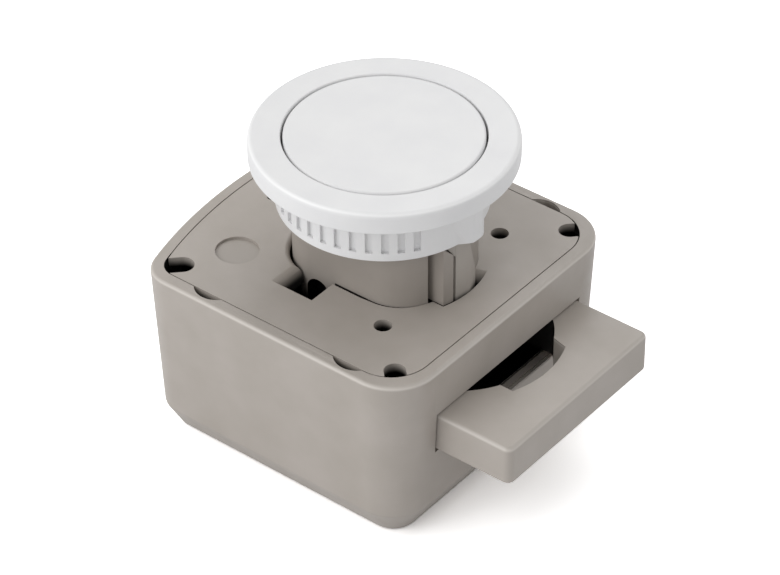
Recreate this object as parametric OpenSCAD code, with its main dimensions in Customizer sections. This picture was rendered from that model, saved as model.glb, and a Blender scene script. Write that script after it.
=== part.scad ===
// Push button cabinet lock. All lengths are in millimetres.
// Origin: on the button's axis, at the back of the case. +X is the way the bolt comes out,
// +Z runs along the button's axis to the front of the door. The lock stands on its back,
// with the bolt out and the button pushed in flush.

/* [Case] */
// Height of the case, from its back to the cover's face
case_h = 24.25; // [22:0.25:30]
// Width of the case across the bolt
case_w = 41.6; // [40:0.2:50]
// Button axis to the face that the bolt leaves
case_front = 18.85; // [18:0.05:22]
// Button axis to the middle of the curved rear side
case_rear = 23.6; // [23:0.1:30]
// Radius of the curved rear side
rear_r = 63; // [50:1:200]
// Radius of the two corners beside the bolt
front_corner_r = 6; // [4.5:0.1:7]
// Radius of the two corners on the rear side
rear_corner_r = 4.2; // [3.5:0.1:6]
// Width of the rim that frames the cover
rim_w = 1.62; // [1.2:0.02:2]
// How much wider the rim is rounded inside at the two front corners
rim_round = 0.8; // [0:0.1:1]
// How much the sides lean in from the top edge to the bottom bevel
draft = 0.9; // [0:0.1:1.4]
// Width of the bevel round the back
bevel_w = 2.2; // [0.5:0.1:2.6]
// Height of the bevel round the back
bevel_h = 3.9; // [1:0.1:5]
// Rounding of the case's top edge
edge_r = 0.55; // [0.2:0.05:0.8]
// Thickness of the case's floor
floor_t = 2; // [1.6:0.1:2.6]
// Thickness of the case's side walls at the top
wall = 2.7; // [2.4:0.1:3.2]
// Thickness of the cover
cover_t = 2; // [1.6:0.1:2.4]
// Gap between the cover and the rim
cover_gap = 0.12; // [0.08:0.01:0.2]

/* [Corner screws] */
// Distance between the corner screw holes along the bolt
screw_dx = 32.1; // [31:0.1:33]
// Distance between the corner screw holes across the bolt
screw_dy = 33.7; // [33:0.1:34.6]
// How far the middle of the four holes lies behind the button's axis
screw_shift = 1.25; // [0.6:0.05:1.6]
// Radius of the pilot holes in the corner posts
pilot_r = 1.05; // [0.9:0.05:1.3]
// Radius of the cover's notches over the front pair
front_notch_r = 1.3; // [1.3:0.05:1.6]
// Radius of the cover's notches over the rear pair
rear_notch_r = 1.45; // [1.4:0.05:1.8]

/* [Bolt] */
// Button axis to the bolt's end when it is out
bolt_end = 28.93; // [26:0.01:32]
// Width of the bolt
bolt_w = 27.24; // [25:0.02:28]
// Thickness of the bolt
bolt_t = 5.22; // [4:0.02:6]
// Height of the bolt's middle over the case's back
bolt_z = 14.79; // [14:0.01:16]
// Travel of the button, and of the bolt that it drives
travel = 10.5; // [6:0.1:10.5]
// How far the button can be pressed in past flush
press_in = 1; // [0.4:0.1:1]
// Radius of the edges at the bolt's end
bolt_edge_r = 0.6; // [0.2:0.05:1]

/* [Guide tube] */
// Radius of the guide tube
tube_r = 11.15; // [11:0.05:11.6]
// Distance from the axis to the tube's two flats
tube_flat = 8.38; // [8.2:0.02:8.5]
// Wall of the tube
tube_wall = 1.4; // [1.2:0.1:1.5]
// Gap between the tube and the cover's opening
tube_gap = 0.28; // [0.15:0.01:0.35]
// Radius of the corners between the tube's round sides and its flats
tube_corner_r = 5.8; // [3:0.1:7]
// How far the rib beside the catch stands out of the tube
rib_h = 1.25; // [0.9:0.05:1.4]

/* [Rosette and button] */
// Height of the rosette's face over the case's back
face_z = 41.55; // [40.8:0.05:44]
// How far the flange stands out past the collar
flange_out = 3.05; // [2:0.05:7]
// Thickness of the rosette's flange
flange_t = 2.7; // [2.6:0.05:3]
// Rounding of the flange's outer top edge
flange_edge_r = 0.75; // [0.2:0.05:1]
// Wall of the ribbed collar
collar_wall = 1.5; // [1.4:0.05:1.9]
// Height of the collar
collar_h = 6.25; // [5.5:0.05:7]
// How much larger the push button's radius is than the tube's
button_out = 0.7; // [0.6:0.01:0.75]
// Gap round the push button
button_gap = 0.25; // [0.2:0.01:0.3]
// Angle from one groove of the collar to the next
groove_step = 9; // [6:0.5:12]
// Half of the plain sector of the collar, over the catch
plain_angle = 31.5; // [25:0.5:45]
// Depth of the collar's grooves
groove_deep = 0.32; // [0.1:0.02:0.35]

/* [Mechanism] */
// Radius of the steel cross pin
pin_r = 1.5; // [1.2:0.05:1.6]
// How far the cross pin lies behind the button's axis
pin_back = 3.5; // [3.4:0.05:3.9]
// Height of the cross pin when the bolt is out
pin_z = 9.9; // [9.8:0.05:10.1]
// Wire thickness of the plunger spring
spring_wire = 0.7; // [0.4:0.05:0.9]
// Middle radius of the plunger spring
spring_r = 3.2; // [3:0.05:3.4]
// Turns of the plunger spring
spring_turns = 9; // [6:1:12]
// Thickness of the latch wire
latch_wire_d = 0.9; // [0.6:0.05:1]
// Height of the latch wire's tip over the case's back
tip_z = 18.5; // [18:0.1:19]

/* [Hidden] */
$fn = 96;

// Clearances: a running fit, a sliding guide, and pieces of one body that only meet
run = 0.1;
slide = 0.15;
seat = 0.05;
// A cut reaches this far past the face that it opens
cut = 1;

half_w = case_w / 2;
wall_y = half_w - wall;
step_in = 1.9;
floor_sink = 0.5;
rear_centre = rear_r - case_rear;
cover_z = case_h - cover_t;
front_screw_x = screw_dx / 2 - screw_shift;
rear_screw_x = -screw_dx / 2 - screw_shift;
screw_y = screw_dy / 2;
post_r = 2.9;
post_top = cover_z - 1.5;
pilot_z = post_top - 10;
relief_r = 2.4;
relief_h = 0.7;
post_z = bevel_h + 0.4;
hook_x = [-11.4, 9.7];
hook_w = 3.2;
hook_h = 4;
crescent_r = 2.8;
crescent_deep = 0.95;
crescent_h = 1.5;
cover_hole = [tube_r - 2.54, tube_flat + 2.86];
cover_hole_r = 1.1;
rear_hole = [-17.7, 0];
rear_hole_r = 0.75;
recess_at = [-14, -10.7];
recess_r = 2.68;
recess_deep = 0.25;
window_y = [tube_flat - 0.38, tube_flat + 4.32];
window_lean = 1.1;

bolt_low = bolt_z - bolt_t / 2;
bolt_high = bolt_z + bolt_t / 2;
bolt_half = bolt_w / 2;
pin_x = -pin_back;
arm_in = tube_flat + 0.37;
cam_wall_t = 2.6;
arm_out = arm_in + cam_wall_t;
cam_low = 5.6;
cam_high = cover_z - 0.35;
cam_margin = 3.1;
arm_rear = pin_x - press_in - pin_r - 2.6;
arm_front = pin_x + travel + pin_r + 4.3;
slot_reach = travel + 3;
notch_clear = 0.4;
pocket_clear = 0.95;
pocket_half = 5.2;
sill = bolt_low - 0.68;
sill_grooves = [0.6, 1.15];
sill_groove_w = 0.25;
sill_groove_deep = 0.2;

tube_in = tube_r - tube_wall;
flat_in = tube_flat - tube_wall;
foot_t = 3;
foot_x = tube_r + 1.75;
foot_y = tube_flat + 2;
foot_screw = [tube_r - 0.58, tube_flat - 0.31];
foot_corner = 0.6;
head_r = 2.2;
head_h = 1.05;
screw_core_r = 1.2;
screw_gap = 0.15;
cross_w = 0.5;
tube_top = face_z - 5.05;
rib_r = tube_r + rib_h;
rib_in = 2.55;
rib_out = 3.9;
sector_r = rib_r + 0.25;
sector_half = rib_out + 0.25;
sector_foot = 2.9;
window_x = [pin_x - 2.8, pin_x + 2.62];

flange_z = face_z - flange_t;
collar_z = flange_z - collar_h;
collar_in = tube_r + 0.3;
collar_r = collar_in + collar_wall;
rosette_r = collar_r + flange_out;
button_r = tube_r + button_out;
button_edge_r = 0.35;
bezel_in = button_r + button_gap;
spigot_h = 1.25;
spigot_r = bezel_in + 0.15;
cap_t = flange_t - press_in - run;
cap_z = face_z - cap_t;
carrier_z = tube_top + press_in + 0.4;
carrier_r = collar_in - 0.35;
button_rim = 2.85;
socket_r = button_r - button_rim;
screw_end = 0.4;
socket_h = 0.6;
key_out = 0.95;
key_r = collar_r + key_out;
key_root = [-2.6, 2.5];
key_flare = -4.9;
catch_post_x = tube_r + seat;
catch_y = [-2.35, 2.1];
catch_t = 1.3;
catch_ridge_y = 0.55;
catch_hook_w = 2.4;
catch_hook_h = 0.9;
catch_h = 3.4;
catch_room = 0.4;
groove_r = 0.58;
lip_h = 1.1;
lip_edge = 0.35;

plunger_r = tube_in - run;
plunger_flat = flat_in - run;
plunger_z = 6.6;
spring_x = 2.6;
bore_r = spring_r + spring_wire / 2 + 0.35;
bore_top = 28;
head_hole_r = 2.3;
screw_head_z = bore_top + 3.9;
screw_head_h = 1.6;
seat_t = 1.2;
washer_t = 0.4;
track_back = 2.15;
track_x = track_back - tube_in;
track_deep = 1.15;
cam_plate_t = 1.7;
cam_plate_y = 4.2;
cam_plate_h = 13.2;
cam_plate_z = plunger_z + 0.8;
latch_z = 3.6;
wire_back = 0.7;
wire_x = track_x - wire_back;
wire_r = latch_wire_d / 2;
wire_foot = 2.25;
tip_gap = 0.15;
bracket_l = 3.6;
bracket_w = 5.4;
bracket_h = 3.2;
bracket_gap = 3.8;
leaf_t = 0.25;
leaf_w = 2.2;
leaf_foot_w = 3.7;
leaf_foot_h = 3;
catch_low = floor_t + foot_t;

taupe = [0.66, 0.64, 0.61];
taupe_dark = [0.52, 0.49, 0.46];
white = [0.92, 0.92, 0.92];
steel = [0.72, 0.73, 0.75];
acetal = [0.85, 0.84, 0.8];

// Points on an arc about c, from angle a to angle b
function arc(c, r, a, b, n) =
  [for (i = [0 : n]) let (t = a + (b - a) * i / n) c + r * [cos(t), sin(t)]];

// The case's outline in plan, set in by d on every side: two round corners beside the bolt,
// two on the rear side, and the shallow arc of the rear side between them. The front corners
// can be rounded wider
function mirrored(p) = [p[0], -p[1]];
function corner_left(r, d) = max(r - d, 0.4);
function outline(d, wider = 0) =
  let (front_r = corner_left(front_corner_r + wider, d), back_r = corner_left(rear_corner_r, d),
    front = [case_front - d - front_r, half_w - d - front_r],
    back_y = half_w - d - back_r, reach = rear_r - d - back_r,
    back = [rear_centre - sqrt(reach * reach - back_y * back_y), back_y],
    turn = asin(back_y / reach))
  concat(
    arc(mirrored(front), front_r, -90, 0, 10),
    arc(front, front_r, 0, 90, 10),
    arc(back, back_r, 90, 180 - turn, 8),
    arc([rear_centre, 0], rear_r - d, 180 - turn, 180 + turn, 16),
    arc(mirrored(back), back_r, 180 + turn, 270, 8));

// A round bar with two flats, in plan, with a large round corner c from each side to its flat
module double_d(r, flat, c) {
  x = sqrt((r - c) * (r - c) - (flat - c) * (flat - c));
  y = flat - c;
  turn = atan2(y, x);
  polygon(concat(
    arc([0, 0], r, -turn, turn, 12),
    arc([x, y], c, turn + 8, 90, 6),
    arc([-x, y], c, 90, 172 - turn, 6),
    arc([0, 0], r, 180 - turn, 180 + turn, 12),
    arc([-x, -y], c, 188 + turn, 270, 6),
    arc([x, -y], c, 270, 352 - turn, 6)));
}

// A straight slot with round ends between two points, cut along Y in the X-Z plane
module slot_y(p, q, r, y0, y1) {
  turn = atan2(q[1] - p[1], q[0] - p[0]);
  translate([0, y1, 0]) rotate([90, 0, 0]) linear_extrude(y1 - y0)
    polygon(concat(arc(q, r, turn - 90, turn + 90, 12), arc(p, r, turn + 90, turn + 270, 12)));
}

// One flat slice of the case's outer form
module case_slice(z, d) {
  translate([0, 0, z]) linear_extrude(0.01) polygon(outline(d));
}

// The outer form of the case: leaning sides, a bevel at the back and a round top edge
module case_form() {
  hull() {
    case_slice(0, draft + bevel_w);
    case_slice(bevel_h, draft);
    case_slice(case_h - edge_r, 0);
    case_slice(case_h - edge_r * 0.5, edge_r * 0.134);
    case_slice(case_h - edge_r * 0.134, edge_r * 0.5);
    case_slice(case_h - 0.01, edge_r);
  }
}

// The four corner screw places, each turned to its corner: child 0 in front, child 1 at the rear
module at_corners() {
  for (s = [-1, 1]) {
    translate([front_screw_x, s * screw_y, 0]) rotate([0, 0, s * 45]) children(0);
    translate([rear_screw_x, s * screw_y, 0]) rotate([0, 0, s * 135]) children(1);
  }
}

// The rails that carry the bolt: a shelf under its edge and a guide beside it
module bolt_rail() {
  rail_in = arm_out + 0.3;
  guide_y = bolt_half + slide;
  guide_out = guide_y + 1.6;
  guide_z = bolt_high + 0.4;
  shelf_z = bolt_low - 0.1;
  low = floor_t - floor_sink;
  rail_x = -14;
  translate([rail_x, 0, 0]) rotate([90, 0, 90]) linear_extrude(case_front - wall - rail_x)
    polygon([[rail_in, low], [guide_out, low], [guide_out, guide_z], [guide_y, guide_z],
      [guide_y, shelf_z], [rail_in, shelf_z]]);
}

module rear_housing() color(taupe) {
  mouth_half = bolt_half + slide + 0.08;
  difference() {
    union() {
      difference() {
        case_form();
        // The cavity, stepped in over the bevel, and the seat of the cover
        translate([0, 0, bevel_h + 0.6]) linear_extrude(case_h) polygon(outline(wall));
        translate([0, 0, floor_t]) linear_extrude(case_h) polygon(outline(wall + step_in));
        translate([0, 0, cover_z]) linear_extrude(case_h) polygon(outline(rim_w, rim_round));
      }
      // Corner posts for the screws
      intersection() {
        linear_extrude(post_top) polygon(outline(draft + 0.8));
        for (s = [-1, 1], x = [front_screw_x, rear_screw_x])
          translate([x, s * screw_y, post_z]) cylinder(r = post_r, h = post_top - post_z);
      }
      for (s = [0, 1]) mirror([0, s, 0]) bolt_rail();
    }
    // The bolt's opening in the front wall, with two fine grooves along its sill
    translate([case_front - wall - 0.2, -mouth_half, sill])
      cube([wall + cut, 2 * mouth_half, bolt_high + 0.2 - sill]);
    for (x = sill_grooves) translate([case_front - x, -mouth_half, sill - sill_groove_deep])
      cube([sill_groove_w, 2 * mouth_half, cut]);
    // Pilot holes in the corner posts, and the room over each post inside the rim
    for (s = [-1, 1], x = [front_screw_x, rear_screw_x])
      translate([x, s * screw_y, pilot_z]) cylinder(r = pilot_r, h = post_top - pilot_z + cut);
    intersection() {
      linear_extrude(case_h) polygon(outline(rim_w, rim_round));
      for (s = [-1, 1], x = [front_screw_x, rear_screw_x])
        translate([x, s * screw_y, post_top]) cylinder(r = relief_r, h = case_h);
    }
    // Pry crescents in the rim, and pockets for the cover's hooks
    for (s = [-1, 1], x = hook_x) {
      translate([x, s * (half_w - rim_w - crescent_r + crescent_deep), case_h - crescent_h])
        cylinder(r = crescent_r, h = crescent_h + cut);
      translate([x - hook_w / 2 - 0.2, s > 0 ? wall_y - 0.2 : -wall_y - 0.6, cover_z - hook_h - 0.2])
        cube([hook_w + 0.4, 0.8, hook_h / 2]);
    }
    // Screw holes to the guide tube's foot, with a recess for each head in the back
    for (x = [-1, 1], y = [-1, 1])
      translate([x * foot_screw[0], y * foot_screw[1], -cut]) {
        cylinder(r = screw_core_r + screw_gap, h = floor_t + 2 * cut);
        cylinder(r = head_r + screw_gap, h = cut + head_h + screw_gap);
      }
  }
}

module cover_plate() color(taupe) {
  rib_y = arm_out + 0.8;
  hold_x = 13;
  hold_t = 1.2;
  difference() {
    translate([0, 0, cover_z]) linear_extrude(cover_t) difference() {
      polygon(outline(rim_w + cover_gap, rim_round));
      // The opening for the guide tube, with the catch's sector beside it
      double_d(tube_r + tube_gap, tube_flat + tube_gap, tube_corner_r);
      intersection() {
        circle(sector_r);
        translate([0, -sector_half]) square([2 * sector_r, sector_half + sector_foot]);
      }
      // The windows over the cross pin's ends, one on each side
      for (s = [-1, 1])
        polygon([[window_x[0], s * window_y[0]], [window_x[0], s * window_y[1]],
          [window_x[1], s * window_y[1]], [window_x[1], s * window_y[0]]]);
      // The notches over the corner screws, open to the corner
      at_corners() {
        union() {
          circle(front_notch_r);
          translate([0, -front_notch_r]) square([6, 2 * front_notch_r]);
        }
        union() {
          circle(rear_notch_r);
          translate([0, -rear_notch_r]) square([6, 2 * rear_notch_r]);
        }
      }
      for (s = [-1, 1]) translate([cover_hole[0], s * cover_hole[1]]) circle(cover_hole_r);
      translate(rear_hole) circle(rear_hole_r);
    }
    // The underside's relief round each corner screw
    for (s = [-1, 1], x = [front_screw_x, rear_screw_x])
      translate([x, s * screw_y, cover_z - cut]) cylinder(r = relief_r, h = cut + relief_h);
    // The sloped far end of the catch's sector
    intersection() {
      cylinder(r = sector_r, h = case_h + cut);
      rotate([90, 0, 90]) linear_extrude(2 * sector_r)
        polygon([[0, cover_z - cut], [sector_foot, cover_z - cut], [sector_foot, cover_z],
          [sector_half, case_h], [sector_half, case_h + cut], [0, case_h + cut]]);
    }
    // The shallow round recess, and the lean of each window's rear side
    translate([recess_at[0], recess_at[1], case_h - recess_deep]) cylinder(r = recess_r, h = cut);
    for (s = [0, 1]) mirror([0, s, 0]) translate([window_x[0], window_y[1], cover_z])
      rotate([90, 0, 0]) linear_extrude(window_y[1] - window_y[0])
        polygon([[0, 0], [cut, 0], [cut, cover_t + cut], [-window_lean, cover_t + cut],
          [-window_lean, cover_t]]);
  }
  // Ribs that hold the bolt down on its rails
  for (s = [-1, 1])
    translate([-hold_x, s > 0 ? rib_y : -rib_y - hold_t, bolt_high + slide])
      cube([hold_x + case_front - wall - 1.5, hold_t, cover_z + 0.3 - bolt_high - slide]);
  // Snap hooks at the four pry crescents
  for (s = [0, 1], x = hook_x) mirror([0, s, 0])
    translate([x - hook_w / 2, 0, 0]) rotate([90, 0, 90]) linear_extrude(hook_w)
      translate([wall_y, cover_z]) polygon([[-1.2, cut], [-0.1, cut], [-0.1, -hook_h + 1.5],
        [0.3, -hook_h + 1.1], [-0.4, -hook_h], [-1.2, -hook_h]]);
}

// One window of the tube for the cross pin, with an arched top
module pin_window() {
  r = pin_r + slide;
  low = pin_z - press_in - pin_r - 0.3;
  high = case_h - 0.9 - r;
  translate([pin_x - r, -tube_r, low]) cube([2 * r, 2 * tube_r, high - low]);
  translate([pin_x, tube_r, high]) rotate([90, 0, 0]) cylinder(r = r, h = 2 * tube_r);
}

module guide_tube() color(taupe_dark) {
  difference() {
    union() {
      translate([0, 0, floor_t]) linear_extrude(tube_top - floor_t)
        double_d(tube_r, tube_flat, tube_corner_r);
      // The foot, screwed to the case's floor
      translate([0, 0, floor_t]) linear_extrude(foot_t) difference() {
        square([2 * foot_x, 2 * foot_y], center = true);
        for (a = [0 : 3]) rotate([0, 0, 90 * a + 45])
          translate([norm([foot_x, foot_y]) + foot_corner, 0]) rotate([0, 0, a % 2 == 0 ? -6 : 6])
            square([foot_x / 3, foot_x], center = true);
      }
      // The rib on one side of the catch, with its top sloped towards it
      intersection() {
        translate([0, 0, floor_t]) cylinder(r = rib_r, h = tube_top);
        translate([tube_r - 2, 0, floor_t]) rotate([90, 0, 90]) linear_extrude(rib_r)
          polygon([[-rib_in, 0], [-rib_out, 0], [-rib_out, collar_z - 0.3 - floor_t],
            [-rib_in, collar_z - 2.2 - floor_t]]);
      }
    }
    translate([0, 0, floor_t - cut]) linear_extrude(tube_top + 2 * cut)
      double_d(tube_in, flat_in, tube_corner_r - tube_wall);
    pin_window();
    for (x = [-1, 1], y = [-1, 1])
      translate([x * foot_screw[0], y * foot_screw[1], floor_t - cut])
        cylinder(r = screw_core_r + seat, h = foot_t + cut - 0.2);
  }
}

// Four pan head screws that hold the guide tube's foot
module tube_screws() color(steel) {
  for (x = [-1, 1], y = [-1, 1]) translate([x * foot_screw[0], y * foot_screw[1], 0]) difference() {
    union() {
      translate([0, 0, screw_gap]) cylinder(r = head_r, h = head_h);
      translate([0, 0, head_h]) cylinder(r = screw_core_r, h = floor_t + foot_t - 0.6 - head_h);
    }
    for (a = [0, 90]) rotate([0, 0, a]) translate([-1.3, -cross_w / 2, -cut])
      cube([2.6, cross_w, cut + 0.7]);
  }
}

// The catch that holds the rosette on: a post with a hooked top in the collar's key
module rosette_catch() color(taupe) {
  x = catch_post_x;
  hook_z = collar_z + 2;
  difference() {
    union() {
      translate([0, 0, catch_low]) linear_extrude(collar_z + catch_h - catch_low)
        polygon([[x, catch_y[0]], [x + catch_t - 0.35, catch_y[0]], [x + catch_t, catch_ridge_y],
          [x + catch_t - 0.2, catch_y[1]], [x, catch_y[1]]]);
      translate([x, -catch_hook_w / 2, hook_z]) cube([catch_t + catch_room, catch_hook_w, catch_hook_h]);
    }
    translate([0, 0, catch_low - cut]) cylinder(r = tube_r + seat, h = face_z);
  }
}

// One flat slice of the collar's key, from a root in the collar's wall at y to the other root
function in_collar(y) = [sqrt(collar_r * collar_r - y * y) - 0.3, y];
module key_slice(z, y) {
  translate([0, 0, z]) linear_extrude(0.01)
    polygon([in_collar(y), [key_r - 0.4, -1.4], [key_r - 0.05, -0.75], [key_r - 0.1, 0.8],
      [key_r - 0.45, 1.5], in_collar(key_root[1])]);
}

// The ribbed collar, with the key over the catch
module rosette_collar() color(white) {
  first = plain_angle + groove_step / 2;
  count = floor((360 - 2 * first) / groove_step);
  pocket_x = catch_post_x + catch_t + catch_room + seat;
  hook_half = catch_hook_w / 2 + seat;
  side = 0.3;
  difference() {
    union() {
      translate([0, 0, collar_z]) rotate_extrude()
        polygon([[0, 0], [collar_r - lip_edge, 0], [collar_r - 0.1, 0.1], [collar_r, lip_edge],
          [collar_r, collar_h], [0, collar_h]]);
      // The key, whose left flank flares towards the flange
      hull() {
        key_slice(collar_z, key_root[0]);
        key_slice(flange_z - 0.01, key_flare);
      }
    }
    // The pocket for the catch
    translate([0, 0, collar_z - cut]) linear_extrude(cut + catch_h + 1.2)
      polygon([[0, catch_y[0] - side], [pocket_x - 0.6, catch_y[0] - side], [pocket_x, -hook_half],
        [pocket_x, hook_half], [pocket_x - 0.5, catch_y[1] + side], [0, catch_y[1] + side]]);
    // The bore, wider where the flange's spigot sits, and the grooves
    translate([0, 0, collar_z - cut]) cylinder(r = collar_in, h = collar_h + 2 * cut);
    translate([0, 0, flange_z - spigot_h]) cylinder(r = spigot_r + seat, h = spigot_h + cut);
    for (i = [0 : count]) rotate([0, 0, first + i * groove_step])
      translate([collar_r - groove_deep + groove_r, 0, collar_z + lip_h])
        cylinder(r = groove_r, h = collar_h, $fn = 24);
  }
}

// The rosette's flange, with its spigot in the collar
module rosette_bezel() color(white) {
  translate([0, 0, flange_z]) rotate_extrude($fn = 128) polygon(concat(
    [[bezel_in, 0], [carrier_r + 0.35, 0], [carrier_r + 0.35, -spigot_h], [spigot_r, -spigot_h],
      [spigot_r, 0], [rosette_r - 0.25, 0], [rosette_r, 0.25]],
    arc([rosette_r - flange_edge_r, flange_t - flange_edge_r], flange_edge_r, 0, 90, 6),
    arc([bezel_in + 0.2, flange_t - 0.2], 0.2, 90, 180, 3)));
}

module push_button() color(white) {
  difference() {
    translate([0, 0, cap_z]) rotate_extrude($fn = 128) polygon(concat(
      [[0, 0], [button_r, 0]],
      arc([button_r - button_edge_r, cap_t - button_edge_r], button_edge_r, 0, 90, 4),
      [[0, cap_t]]));
    // A shallow socket for the carrier's spigot
    translate([0, 0, cap_z - cut]) cylinder(r = socket_r, h = cut + socket_h);
  }
}

// The drum under the button, which the plunger's screw holds
module button_carrier() color(white) {
  difference() {
    union() {
      translate([0, 0, carrier_z]) cylinder(r = carrier_r, h = cap_z - carrier_z);
      translate([0, 0, cap_z - 0.1]) cylinder(r = socket_r - seat, h = socket_h + 0.05);
    }
    translate([spring_x, 0, carrier_z - cut])
      cylinder(r = screw_core_r, h = cap_z - carrier_z + cut - screw_end);
  }
}

module button_screw() color(steel) {
  translate([spring_x, 0, 0]) difference() {
    union() {
      translate([0, 0, screw_head_z]) cylinder(r = head_hole_r - 0.2, h = screw_head_h);
      translate([0, 0, screw_head_z + 1])
        cylinder(r = screw_core_r - seat, h = cap_z - 0.5 - screw_head_z - 1);
    }
    for (a = [0, 90]) rotate([0, 0, a]) translate([-1.2, -cross_w / 2, screw_head_z - cut])
      cube([2.4, cross_w, cut + 0.9]);
  }
}

module plunger() color(acetal) {
  flat_top = tip_z + press_in + 1.3;
  difference() {
    translate([0, 0, plunger_z]) linear_extrude(carrier_z - plunger_z)
      double_d(plunger_r, plunger_flat, tube_corner_r - tube_wall - run);
    // The flat that faces the latch wire, and the pocket of the heart cam
    translate([-plunger_r - cut, -plunger_r, plunger_z - cut])
      cube([plunger_r + cut + track_x, 2 * plunger_r, flat_top - plunger_z + cut]);
    translate([track_x - cut, -cam_plate_y - seat, cam_plate_z - seat])
      cube([cam_plate_t + cut + seat, 2 * (cam_plate_y + seat), cam_plate_h + 2 * seat]);
    // The cross pin's hole, the spring's bore and the screw's hole
    translate([pin_x, plunger_r, pin_z]) rotate([90, 0, 0]) cylinder(r = pin_r + 0.02, h = 2 * plunger_r);
    translate([spring_x, 0, plunger_z - cut]) cylinder(r = bore_r, h = bore_top - plunger_z + cut);
    translate([spring_x, 0, plunger_z])
      cylinder(r = head_hole_r, h = screw_head_z + screw_head_h - plunger_z);
    translate([spring_x, 0, plunger_z]) cylinder(r = screw_core_r, h = carrier_z);
  }
}

module cam_pin() color(steel) {
  pin_half = arm_out - 0.2;
  translate([pin_x, pin_half, pin_z]) rotate([90, 0, 0]) {
    translate([0, 0, 0.2]) cylinder(r = pin_r, h = 2 * pin_half - 0.4);
    cylinder(r1 = pin_r - 0.2, r2 = pin_r, h = 0.2);
    translate([0, 0, 2 * pin_half - 0.2]) cylinder(r1 = pin_r, r2 = pin_r - 0.2, h = 0.2);
  }
}

// The plate with the heart shaped track that the latch wire's tip runs in
module heart_cam() color(acetal) {
  low = cam_plate_z;
  high = low + cam_plate_h;
  swing = -2.2;
  fall = travel + 0.05;
  lane = wire_r + 0.3;
  translate([track_x, 0, 0]) difference() {
    translate([0, -cam_plate_y, low]) cube([cam_plate_t, 2 * cam_plate_y, high - low]);
    translate([-cut, 0, 0]) rotate([90, 0, 90]) linear_extrude(track_deep + cut) difference() {
      // The track's outer edge: the exit lane leans one way, the entry lane the other
      polygon([[swing - lane, tip_z - fall - lane], [swing + lane, tip_z - fall - lane],
        [2.9, tip_z - 0.59 * travel], [2.9, tip_z - 0.4], [1.6, high - 0.4], [-lane + 0.2, high - 0.4],
        [-lane, tip_z]]);
      // The heart, with its notch
      polygon([[wire_r + 0.12, tip_z - 0.75], [1.05, tip_z - 1.25], [1.55, tip_z - 0.35], [1.95, tip_z - 1],
        [1.75, tip_z - 0.495 * travel], [-0.65, tip_z - 0.676 * travel]]);
    }
  }
}

// A helix of round wire, as one closed tube
function coil_point(u, h) =
  [spring_r * cos(360 * spring_turns * u), spring_r * sin(360 * spring_turns * u), h * u];
module plunger_spring() color(steel) {
  low = floor_t + seat_t + spring_wire / 2 + 0.02;
  high = bore_top - washer_t - spring_wire / 2 - 0.02;
  rings = spring_turns * 8;
  sides = 6;
  points = [for (i = [0 : rings], j = [0 : sides - 1])
    let (u = i / rings, a = 360 * spring_turns * u, t = 360 * j / sides, w = spring_wire / 2)
    coil_point(u, high - low) + w * [cos(t) * cos(a), cos(t) * sin(a), sin(t)]];
  sides_faces = [for (i = [0 : rings - 1], j = [0 : sides - 1], k = [0, 1])
    let (a = i * sides + j, b = i * sides + (j + 1) % sides, c = a + sides, d = b + sides)
    k == 0 ? [a, b, c] : [b, d, c]];
  start_faces = [for (j = [1 : sides - 2]) [0, j + 1, j]];
  end_faces = [for (j = [1 : sides - 2]) let (n = rings * sides) [n, n + j, n + j + 1]];
  translate([spring_x, 0, low]) polyhedron(points, concat(sides_faces, start_faces, end_faces));
}

module spring_washer() color(steel) {
  translate([spring_x, 0, bore_top - washer_t]) difference() {
    cylinder(r = bore_r - 0.15, h = washer_t);
    translate([0, 0, -cut]) cylinder(r = 1.7, h = 3 * cut);
  }
}

// The seat of the plunger spring, with the post that guides it
module spring_seat() color(acetal) {
  guide_r = spring_r - spring_wire / 2 - 0.45;
  guide_h = 10;
  translate([spring_x, 0, floor_t]) {
    cylinder(r = bore_r + 0.4, h = seat_t);
    cylinder(r = guide_r, h = guide_h);
    translate([0, 0, guide_h]) cylinder(r1 = guide_r, r2 = guide_r - 0.8, h = 1);
  }
}

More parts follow.
